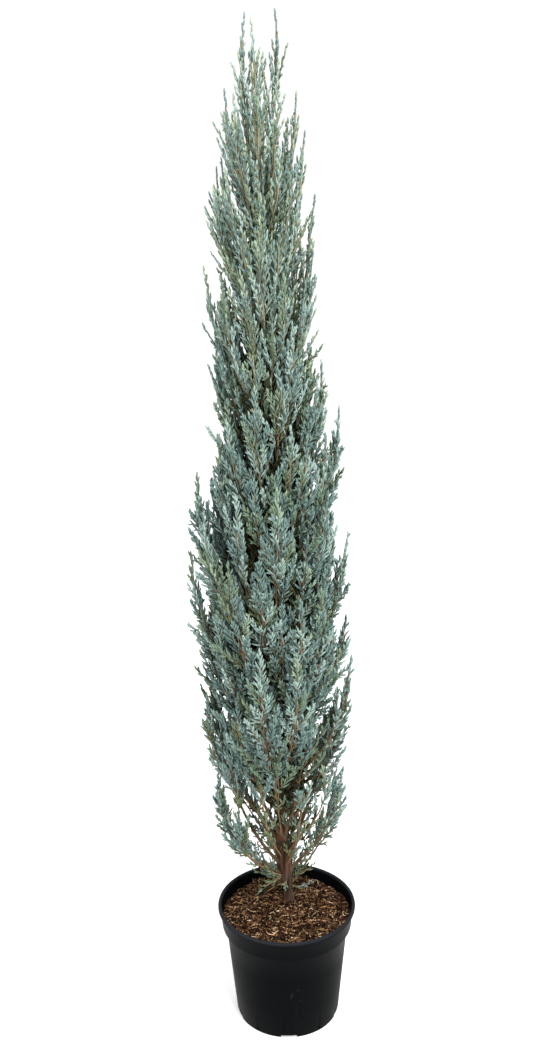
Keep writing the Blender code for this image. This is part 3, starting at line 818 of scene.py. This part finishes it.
# stems too fine for the frame; the fillers go where the most room is left
def finerLimbs(limbs):
    finer = []
    fine = limbSizes["fine"]
    for number, (turn, *row) in enumerate(limbSizes["wisps"], 1):
        finer.append(Limb(f"wisp_{number}", math.radians(turn), *row, **fine))
    shares = (0.55, 0.75, 0.95)
    taken = [limb.point(share) for limb in limbs + finer for share in shares]
    for number in range(limbSizes["fillers"]):
        share = number / (limbSizes["fillers"] - 1)
        chance = random.Random(f"filler {number}")
        fork = blend(*limbSizes["fillerForks"], share)
        tip = fork + blend(*limbSizes["fillerLengths"], share) * chance.uniform(0.85, 1.15)
        best, room = None, -1.0
        for attempt in range(limbSizes["fillerTries"]):
            turn = chance.uniform(0, math.tau)
            reach = crown["tipShare"] * crownReach(tip, turn) * chance.uniform(0.82, 1.14)
            bow = limbSizes["bow"] * chance.uniform(0.8, 1.2)
            limb = Limb(f"filler_{number + 1}", turn, fork, reach, tip, bow, **fine)
            free = min((limb.point(s) - point).length for s in shares for point in taken)
            if free > room:
                best, room = limb, free
        finer.append(best)
        taken += [best.point(share) for share in shares]
    return finer


limbs = allLimbs()
boughs = [limb for limb in limbs if limb.bare]
finer = finerLimbs(limbs)

# bark

bark = {
    "ringStep": 0.0028,
    "trunkSides": 32,
    # sides and rings of the skins
    "boughSkin": (14, 60),
    "stemSkin": (6, 22),
    "stemStop": 0.030,  # how far below its limb's tip the wood ends
    "relief": 0.0011,  # of the trunk's strips
    "boughRelief": 0.00035,
    "knot": 0.0022,  # how far the trunk swells at a fork
    "knotSize": 2.2,  # in radii of the limb
    "kink": 0.0016,
    # colours from dark to pale: the trunk near the soil and higher up, then the other wood
    "grey": ((0.017, 0.009, 0.005), (0.072, 0.042, 0.027), (0.165, 0.112, 0.080)),
    "red": ((0.019, 0.008, 0.004), (0.102, 0.044, 0.022), (0.220, 0.106, 0.058)),
    "young": ((0.165, 0.148, 0.080), (0.350, 0.325, 0.200)),
    "bough": ((0.046, 0.027, 0.014), (0.165, 0.110, 0.058)),
    "stem": ((0.130, 0.066, 0.028), (0.330, 0.195, 0.090)),
    "twig": ((0.170, 0.088, 0.038), (0.350, 0.210, 0.100)),
}


# a round skin over rings of points; lift(place, spoke, radius) is how far a point moves out
def skin(centres, radii, sides, lift):
    points = []
    side = (centres[1] - centres[0]).normalized().orthogonal().normalized()
    for ring, (centre, radius) in enumerate(zip(centres, radii)):
        ahead = centres[min(ring + 1, len(centres) - 1)]
        along = (ahead - centres[max(ring - 1, 0)]).normalized()
        side = (side - side.dot(along) * along).normalized()
        across = along.cross(side)
        for step in range(sides):
            turn = math.tau * step / sides
            spoke = math.cos(turn) * side + math.sin(turn) * across
            place = centre + spoke * radius
            points.append(place + spoke * lift(place, spoke, radius))
    points += [centres[0], centres[-1]]
    bottom, top = len(points) - 2, len(points) - 1
    last = bottom - sides
    triangles = []
    for low in range(0, last, sides):
        for step in range(sides):
            here, following = low + step, low + (step + 1) % sides
            triangles.append((here, following, following + sides))
            triangles.append((here, following + sides, here + sides))
    for step in range(sides):
        following = (step + 1) % sides
        triangles.append((following, step, bottom))
        triangles.append((last + step, last + following, top))
    return np.array([p[:] for p in points]), np.array(triangles)


def joined(parts):
    points, triangles, start = [], [], 0
    for partPoints, partTriangles in parts:
        points.append(partPoints)
        triangles.append(partTriangles + start)
        start += len(partPoints)
    return np.vstack(points), np.vstack(triangles)


# long shredding strips up the wood, with finer cracks across them
def stringy(place, fine):
    strips = noise.noise(Vector((place.x * fine, place.y * fine, place.z * fine * 0.11)))
    cracks = noise.noise(Vector((place.x * fine * 2.3, place.y * fine * 2.3, place.z * fine * 0.5)))
    return 0.7 * strips + 0.45 * cracks


def trunkBarkPaint():
    paint = Paint("trunk bark", roughness=0.86, Specular_IOR_Level=0.20)
    strips = paint.grain(170.0, detail=5.0, stretch=(1.0, 1.0, 0.09))
    patches = paint.grain(34.0, detail=3.0)
    grey = paint.shades(strips, (0.30, 0.52, 0.72), bark["grey"])
    red = paint.shades(strips, (0.32, 0.55, 0.75), bark["red"])
    up = paint.ramp(paint.height() * 8.0 - 1.9 + patches * 0.5, [(0.25, 0.0), (0.75, 1.0)])
    paint.colour(paint.mix(up, grey, red))
    paint.bump(strips * 0.8 + patches * 0.2, 0.0016, 0.8)
    return paint


# brown wood, tan where it is young and high on the plant
def boughBarkPaint(kind):
    paint = Paint(kind + " bark", roughness=0.74, Specular_IOR_Level=0.25)
    strips = paint.grain(260.0, detail=4.0, stretch=(1.0, 1.0, 0.25))
    patches = paint.grain(24.0, detail=3.0)
    mask = strips * 0.6 + patches * 0.4
    old, young = (paint.shades(mask, (0.32, 0.68), bark[age]) for age in (kind, "young"))
    up = paint.ramp(paint.height() * 1.6 - 1.4 + patches * 0.5, [(0.10, 0.0), (0.80, 1.0)])
    paint.colour(paint.mix(up, old, young))
    paint.bump(strips, 0.0008, 0.6)
    return paint


def buildTrunk():
    foot = trunk["foot"].z
    span = trunk["tipHeight"] - foot
    steps = int(span / bark["ringStep"])
    heights = [foot + span * step / steps for step in range(steps + 1)]
    knots = [(limb.fork, direction(limb.turn), bark["knotSize"] * limb.radius) for limb in limbs]

    def lift(place, spoke, radius):
        flare = trunk["lobeSwell"] * (1 - smooth((place.z - foot) / trunk["flareHeight"]))
        turn = math.atan2(spoke.y, spoke.x)
        height = flare * radius * math.cos(trunk["lobes"] * turn + trunk["lobeTurn"])
        height += bark["relief"] * stringy(place, 230.0) * min(1.0, radius / 0.008)
        for fork, outwards, size in knots:
            rise = (place.z - fork + 0.3 * size) / (1.6 * size)
            if abs(rise) < 2.5:
                facing = max(0.0, spoke.dot(outwards)) ** 3
                height += bark["knot"] * (size / 0.008) * facing * math.exp(-rise * rise)
        return height

    centres, radii = map(trunkPoint, heights), map(trunkRadius, heights)
    points, triangles = skin(list(centres), list(radii), bark["trunkSides"], lift)
    # the foot stays flat where it meets the soil
    points[: bark["trunkSides"], 2] = foot
    piece = meshFromArrays("trunk_bark", points, triangles)
    keep(piece, trunkBarkPaint(), "trunk_bark", "trunk")


def buildBoughs():
    def lift(place, spoke, radius):
        return bark["boughRelief"] * (radius / 0.003) * stringy(place, 420.0)

    thick, thin = [], []
    for limb in limbs + finer:
        isBough = limb in boughs
        sides, rings = bark["boughSkin" if isBough else "stemSkin"]
        length = (limb.point(1.0) - limb.point(0.0)).length
        last = 1 - bark["stemStop"] / length
        shares = [last * step / rings for step in range(rings + 1)]
        centres = [limb.point(share) for share in shares]
        wobble = random.Random("stem " + limb.name)
        phase = wobble.uniform(0, 6)
        for share, centre in zip(shares, centres):
            kink = bark["kink"] * math.sin(math.pi * share) * math.sin(11 * share + phase)
            centre.x += kink
            centre.y -= kink
        swell = 1.0 if isBough else 0.5  # where the limb leaves the trunk
        girths = [limb.girth(share) * (1 + swell * math.exp(-share * 60)) for share in shares]
        (thick if isBough else thin).append(skin(centres, girths, sides, lift))
    names = [limb.name + "_bough" for limb in boughs]
    for kind, parts, nodes in (("bough", thick, names), ("stem", thin, [])):
        piece = meshFromArrays(kind + "_bark", *joined(parts))
        keep(piece, boughBarkPaint(kind), "bough_bark", *nodes)


buildTrunk()
buildBoughs()
print("trunk,", len(boughs), "boughs,", len(limbs) + len(finer) - len(boughs), "stems")


# foliage: twigs up each limb by golden turns, sprays of scale-leaf cords up each twig

foliage = {
    # low on the plant, then high on it
    "twigAngle": (math.radians(28), math.radians(16)),
    "twigLength": (0.078, 0.094),
    "cordAngle": (math.radians(36), math.radians(22)),
    "cordLength": (0.0212, 0.0156),
    "cordStep": (0.0050, 0.0085),
    "cordRadius": (0.00188, 0.00162),
    "twigs": (29, 20),  # on one span of limb
    "fillerTwigs": (23, 16),
    "twigSpan": 0.26,
    "firstTwig": 0.03,
    "bareFace": (0.85, 0.95),
    "tipShoot": 0.068,  # the bare end of a limb, with cords only
    "upturn": 0.35,
    "twigRadius": (0.00118, 0.00108),
    "sideShare": 0.55,
    "sideFrom": 0.0110,
    "sideChance": 0.62,
    "flat": (0.42, 0.30),  # how far cords stray from a flat spray, in radians
    "trunkClear": 0.003,
    "innerShoots": 600,
    "innerLowest": 0.37,
    "innerCoarse": 2.0,
    "sprouts": 8,
    "trunkSprouts": 26,
    "trunkSproutStart": 0.022,
    "trunkSproutSpan": 0.31,
    "sproutLengths": (0.013, 0.040),
    "trunkSproutLengths": (0.018, 0.034),
    "trunkSproutGain": 0.030,  # how much longer the highest are
    # below this the middle of the plant stays open
    "openBelow": 0.44,
    "openWithin": 0.70,
    "openChance": 0.8,
    "shrinks": (1.0, 0.85, 0.7, 0.55, 0.4),  # tried in turn where a twig would stick out
    "bareTwigs": 0.76,
    "young": (0.05, 0.38),  # chance of a twig's end being young
    "offShade": 0.2,
    # shoots that hang over the soil: direction, root height, length, droop
    "drooping": (
        (186, 0.238, 0.046, 0.95), (202, 0.230, 0.040, 1.10),
        (214, 0.244, 0.044, 1.00), (176, 0.228, 0.034, 0.50),
        (322, 0.228, 0.020, 0.50), (24, 0.240, 0.030, 0.20),
        (44, 0.230, 0.032, 0.50), (110, 0.232, 0.034, 0.60),
    ),
    "pieceTriangles": 190000,
}

# darker and paler colour of each tone
tones = {
    # deep: a dark green painted on as the shade inside the crown
    "deep": ((0.016, 0.017, 0.008), (0.044, 0.047, 0.022)),
    "blue": ((0.094, 0.161, 0.145), (0.182, 0.268, 0.243)),
    "silver": ((0.206, 0.303, 0.270), (0.322, 0.425, 0.380)),
    "sage": ((0.092, 0.144, 0.094), (0.186, 0.256, 0.172)),
    "fresh": ((0.186, 0.256, 0.172), (0.306, 0.384, 0.268)),
    "olive": ((0.062, 0.086, 0.040), (0.158, 0.202, 0.104)),
}

# how often each tone is dealt: deep inside, where it is painted shade, low and high on the outside,
# on the small shoots of the bare wood and over the soil, and how far a bright mood of its limb
# shifts it
toneShares = {
    "inside": np.array((0.66, 0.12, 0.00, 0.14, 0.00, 0.08)),
    "low": np.array((0.00, 0.49, 0.25, 0.21, 0.03, 0.02)),
    "high": np.array((0.00, 0.47, 0.22, 0.29, 0.02, 0.00)),
    "sprouts": np.array((0.18, 0.14, 0.02, 0.30, 0.08, 0.28)),
    "drooping": np.array((0.20, 0.00, 0.00, 0.24, 0.12, 0.44)),
    "mood": np.array((-0.6, 0.0, 0.5, -0.2, 0.3, -0.3)),
}


def plumeShare(along):
    return math.sin(math.pi * (0.25 + 0.72 * along)) ** 0.8


# how far up the plant a height is, and a pair of sizes read there
def upShare(height):
    return smooth((height - 0.80) / 0.62)


def sized(name, height):
    return blend(*foliage[name], upShare(height))


def unit(vectors):
    return vectors / np.maximum(np.linalg.norm(vectors, axis=-1, keepdims=True), 1e-9)


# one slim cord of scale leaves for each base, heading, bend, length and girth
def cordMesh(bases, headings, bends, lengths, girths, seed):
    places = (0.0, 0.36, 0.72)
    widths = (0.85, 1.05, 0.80)
    chance = np.random.default_rng(seed)
    headings = unit(headings)
    side = unit(np.cross(headings, chance.normal(size=headings.shape)))
    across = np.cross(headings, side)
    count = len(bases)
    rings = []
    for ring, (place, width) in enumerate(zip(places, widths)):
        middle = bases + (headings * place + bends * place * place) * lengths[:, None]
        for corner in range(3):
            turn = math.radians(120 * corner + 60 * ring)
            spoke = side * math.cos(turn) + across * math.sin(turn)
            rings.append(middle + spoke * (girths * width)[:, None])
    rings.append(bases + (headings + bends) * lengths[:, None])
    points = np.stack(rings, axis=1)
    faces = [(2, 1, 0)] + stickFaces(2) + [(6, 7, 9), (7, 8, 9), (8, 6, 9)]
    each = points.shape[1]
    triangles = np.array(faces)[None] + (np.arange(count) * each)[:, None, None]
    return points.reshape(-1, 3), triangles.reshape(-1, 3)


# the twigs of one limb: root, heading and length
def twigsOf(limb, density):
    chance = random.Random("twigs " + limb.name)
    start = chance.uniform(0, math.tau)
    length = (limb.point(1.0) - limb.point(limb.bare)).length
    total = max(6, round(density * length / foliage["twigSpan"]))
    last = 1 - 0.75 * foliage["tipShoot"] / length
    outwards = direction(limb.turn)
    found = []
    for number in range(total):
        along = (number + 0.5) / total
        share = blend(limb.bare, 1, blend(foliage["firstTwig"], last, along))
        heading = limb.heading(share)
        root = limb.point(share)
        side = sideways(heading, start + number * goldenTurn)
        # twigs leave the outer face of a stem bare
        facing = max(0.0, side.dot(outwards)) * sized("bareFace", root.z)
        side = (side - outwards * facing).normalized()
        angle = sized("twigAngle", root.z) * chance.uniform(0.7, 1.25) * (1 - 0.4 * along)
        out = (heading * math.cos(angle) + side * math.sin(angle)).normalized()
        size = sized("twigLength", root.z) * (limb.width / 0.044) ** 0.5
        found.append((root, out, size * plumeShare(along) * chance.uniform(0.75, 1.2)))
    tip = limb.point(1.0)
    base = limb.point(1 - foliage["tipShoot"] / length)
    found.append((base, (tip - base).normalized(), (tip - base).length))
    return found


# small shoots on the bare wood: root, heading, length
def sprouts():
    chance = random.Random("sprouts")
    found = []
    for limb in limbs + finer:
        if not limb.bare:
            continue
        for number in range(foliage["sprouts"]):
            share = (0.10 + 1.0 * (number + chance.random()) / foliage["sprouts"]) * limb.bare
            heading = limb.heading(share)
            side = sideways(heading, number * goldenTurn + chance.uniform(-0.5, 0.5))
            angle = math.radians(chance.uniform(25, 60))
            out = leaning(heading * math.cos(angle) + side * math.sin(angle), 0.25)
            found.append((limb.point(share), out, chance.uniform(*foliage["sproutLengths"])))
    for number in range(foliage["trunkSprouts"]):
        share = (number + chance.random()) / foliage["trunkSprouts"]
        height = trunk["foot"].z + foliage["trunkSproutStart"] + foliage["trunkSproutSpan"] * share
        spoke = direction(number * goldenTurn + chance.uniform(-0.4, 0.4))
        rise = -0.5 + 2.0 * smooth(share * 2.2) + chance.uniform(-0.3, 0.3)
        size = chance.uniform(*foliage["trunkSproutLengths"]) + foliage["trunkSproutGain"] * share
        found.append((insideTrunk(height, spoke, 0.7), leaning(spoke, rise), size))
    return found


# short shoots straight off the trunk, deep in the crown, where they are painted dark as shade
def innerShoots():
    chance = random.Random("inner shoots")
    found = []
    count = foliage["innerShoots"]
    low, high = foliage["innerLowest"], trunk["tipHeight"] - 0.03
    for number in range(count):
        height = low + (high - low) * (number + chance.random()) / count
        turn = number * goldenTurn + chance.uniform(-0.4, 0.4)
        spoke = direction(turn)
        out = leaning(spoke, chance.uniform(0.9, 2.0) + upShare(height))
        size = crownReach(height, turn) * chance.uniform(0.50, 0.95)
        found.append((insideTrunk(height, spoke, 0.5), out, size))
    return found


# how far a point is from the middle of the crown, where its edge is 1
def outShare(point):
    spoke = point - crownMiddle(point.z)
    turn = math.atan2(spoke.y, spoke.x)
    return math.hypot(spoke.x, spoke.y) / crownReach(point.z, turn)


def isInReach(point):
    if outShare(point) > crown["slack"]:
        return False
    spoke = point - crownMiddle(point.z)
    clear = trunkRadius(point.z) + foliage["trunkClear"]
    return point.z > trunk["tipHeight"] or math.hypot(spoke.x, spoke.y) > clear


# the cords up one twig, left and right in turn with some to the front and back, longest
# low down, the long ones with a smaller one forking off
def cordsOf(chance, root, out, bend, length, coarse=1.0, sparse=1.0):
    height = root[2]
    count = max(4, int(length / (sized("cordStep", height) * coarse * sparse)))
    place = 0.10 + 0.90 * (np.arange(count) + chance.uniform(0.2, 0.8)) / count
    base = root + (out + bend * place[:, None]) * (place * length)[:, None]
    along = unit(out + 2 * bend * place[:, None])
    middle = crownMiddle(height)
    outwards = np.array([root[0] - middle.x, root[1] - middle.y, 0.25 * length])
    across = unit(np.cross(along, outwards + chance.normal(0, 0.35, 3) * np.linalg.norm(outwards)))
    other = np.cross(along, across)
    turn = np.pi * np.arange(count) + chance.normal(0, sized("flat", height), count)
    turn += 0.5 * np.pi * (np.arange(count) % 4 == 3) * (1 - upShare(height))
    spoke = across * np.cos(turn)[:, None] + other * np.sin(turn)[:, None]
    angle = sized("cordAngle", height) * chance.uniform(0.86, 1.14, count) * (1 - 0.5 * place**2)
    heading = along * np.cos(angle)[:, None] + spoke * np.sin(angle)[:, None]
    reach = sized("cordLength", height) * (1 - 0.45 * place**2) * chance.uniform(0.82, 1.14, count)
    reach *= (0.62 + 0.38 * min(1.0, length / 0.06)) * coarse**0.6
    curl = (np.array([0, 0, 1.0]) - heading * heading[:, 2:]) * 0.20
    curl += chance.normal(0, 0.035, (count, 3))
    thick = sized("cordRadius", height) * chance.uniform(0.85, 1.15, count) * coarse**0.6
    chosen = (reach > foliage["sideFrom"]) & (chance.uniform(size=count) < foliage["sideChance"])
    fork = base + (heading * 0.40 + curl * 0.16) * reach[:, None]
    swung = unit(heading + 0.60 * np.cross(heading, other + chance.normal(0, 0.4, (count, 3))))
    small = reach * foliage["sideShare"] * chance.uniform(0.75, 1.2, count)
    # the last cord goes straight on
    heading[-1] = along[-1]
    main = (base, heading, curl, reach, thick)
    side = (fork[chosen], swung[chosen], curl[chosen], small[chosen], thick[chosen] * 0.9)
    return main, side


def growFoliage():
    up = Vector((0, 0, 1))
    twigParts = []
    cords = {tone: [] for tone in tones}
    names = list(tones)

    def deal(chance, point, mood):
        outside = blend(toneShares["low"], toneShares["high"], smooth((point.z - 0.8) / 0.6))
        # the nearer the middle of the crown, the more of the deep tone, which paints the shade in
        # there
        away = smooth((outShare(point) - 0.30) / 0.36 + max(0.0, (point.z - 1.15) / 0.25))
        weights = blend(toneShares["inside"], outside, away) * np.exp(mood * toneShares["mood"])
        return names[chance.choice(len(names), p=weights / weights.sum())]

    def addTwig(
        chance, root, out, size, mood, tone=None, coarse=1.0, droop=0.0, sparse=1.0, isTip=False
    ):
        isOpen = root.z < foliage["openBelow"] and outShare(root) < foliage["openWithin"]
        if tone is None and isOpen and chance.uniform() < foliage["openChance"]:
            return
        for shrink in foliage["shrinks"]:
            length = size * shrink
            upturn = foliage["upturn"] * (1 - out.z) * chance.uniform(0.6, 1.4) - droop
            bend = (up - out * out.z) * upturn + Vector(chance.normal(0, 0.04, 3))
            if isTip or isInReach(root + (out + bend) * length):
                break
        else:
            return
        arrays = [np.array(v[:]) for v in (root, out, bend)]
        girth = sized("twigRadius", root.z) * (0.6 + 0.4 * length / 0.06)
        twigParts.append((*arrays, length * 0.95, girth))
        main, side = cordsOf(chance, *arrays, length, coarse, sparse)
        middle = root + out * 0.6 * length
        tone = tone or deal(chance, middle, mood)
        # the ends of shoots high on the plant are young and paler
        isYoung = tone != "deep" and chance.uniform() < sized("young", middle.z)
        old = len(main[0]) * 4 // 5
        cords[tone].append([column[:old] for column in main])
        cords["fresh" if isYoung else tone].append([column[old:] for column in main])
        # the forks of a spray are often a shade off its own
        if tone in ("blue", "silver") and chance.uniform() < foliage["offShade"]:
            tone = "silver" if tone == "blue" else "blue"
        cords[tone].append(side)

    for limb in limbs + finer:
        chance = np.random.default_rng(sum(map(ord, limb.name)) * 7 + len(limb.name))
        mood = chance.uniform(-0.8, 0.8)
        density = sized("twigs" if limb in limbs else "fillerTwigs", limb.tip - 0.1)
        if limb.bare:
            density *= foliage["bareTwigs"]
        twigs = twigsOf(limb, density)
        for root, out, size in twigs[:-1]:
            addTwig(chance, root, out, size, mood + chance.uniform(-0.7, 0.7))
        addTwig(chance, *twigs[-1], mood, isTip=True)
    chance = np.random.default_rng(3)
    for root, out, size in innerShoots():
        # the inner shoots are painted shade in the deep tone, save high up
        tone = "deep" if chance.uniform() < 0.97 - 0.97 * smooth((root.z - 1.1) / 0.3) else "sage"
        addTwig(chance, root, out, size, 0.0, tone, foliage["innerCoarse"])
    for root, out, size in sprouts():
        tone = names[chance.choice(len(names), p=toneShares["sprouts"])]
        addTwig(chance, root, out, size, 0.0, tone, 0.8, sparse=1.6)
    chance = np.random.default_rng(12)
    for turn, height, size, droop in foliage["drooping"]:
        spoke = direction(math.radians(turn))
        out = leaning(spoke, chance.uniform(0.0, 0.4))
        tone = names[chance.choice(len(names), p=toneShares["drooping"])]
        root = insideTrunk(height, spoke, 0.7)
        addTwig(chance, root, out, size, 0.0, tone, 0.75, droop, sparse=2.0)
    return twigParts, cords


def needlePaint(name, dark, light):
    # the deep tone is painted shade, so it shines less
    shine = 0.08 if name == "deep" else 0.26
    paint = Paint("needles " + name, roughness=0.62, Specular_IOR_Level=shine)
    fine = paint.grain(900.0, detail=2.0)
    broad = paint.grain(14.0, detail=3.0)
    mask = paint.ramp(fine * 0.6 + broad * 0.4, [(0.35, 0.0), (0.65, 1.0)])
    paint.colour(paint.mix(mask, dark, light))
    paint.rough(paint.ramp(broad, [(0.3, 0.55), (0.7, 0.72)]))
    return paint


def buildFoliage():
    twigParts, cords = growFoliage()
    roots, headings, bends, lengths, girths = (np.array(column) for column in zip(*twigParts))
    points, triangles = cordMesh(roots, headings, bends, lengths, girths, 5)
    piece = meshFromArrays("twigs", points, triangles, isSmooth=False)
    keep(piece, boughBarkPaint("twig"), "bough_bark")
    pieces, total = [], 0
    for tone, (dark, light) in tones.items():
        columns = [np.concatenate(column) for column in zip(*cords[tone])]
        points, triangles = cordMesh(*columns, seed=len(tone))
        total += len(triangles)
        paint = needlePaint(tone, dark, light)
        # split where a piece would grow too heavy, each cord kept whole
        each = len(triangles) // len(columns[0])
        perPiece = foliage["pieceTriangles"] // each * each
        for number, first in enumerate(range(0, len(triangles), perPiece), 1):
            chosen = triangles[first : first + perPiece]
            low, high = chosen.min(), chosen.max()
            name = f"needles_{tone}_{number}"
            part = meshFromArrays(name, points[low : high + 1], chosen - low)
            pieces.append(keep(part, paint, "foliage"))
    masses = [limb.name + "_foliage" for limb in limbs]
    for number, part in enumerate(pieces):
        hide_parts(*masses[number :: len(pieces)])
    print("foliage:", len(roots), "twigs,", total, "triangles in", len(pieces), "pieces")


buildFoliage()
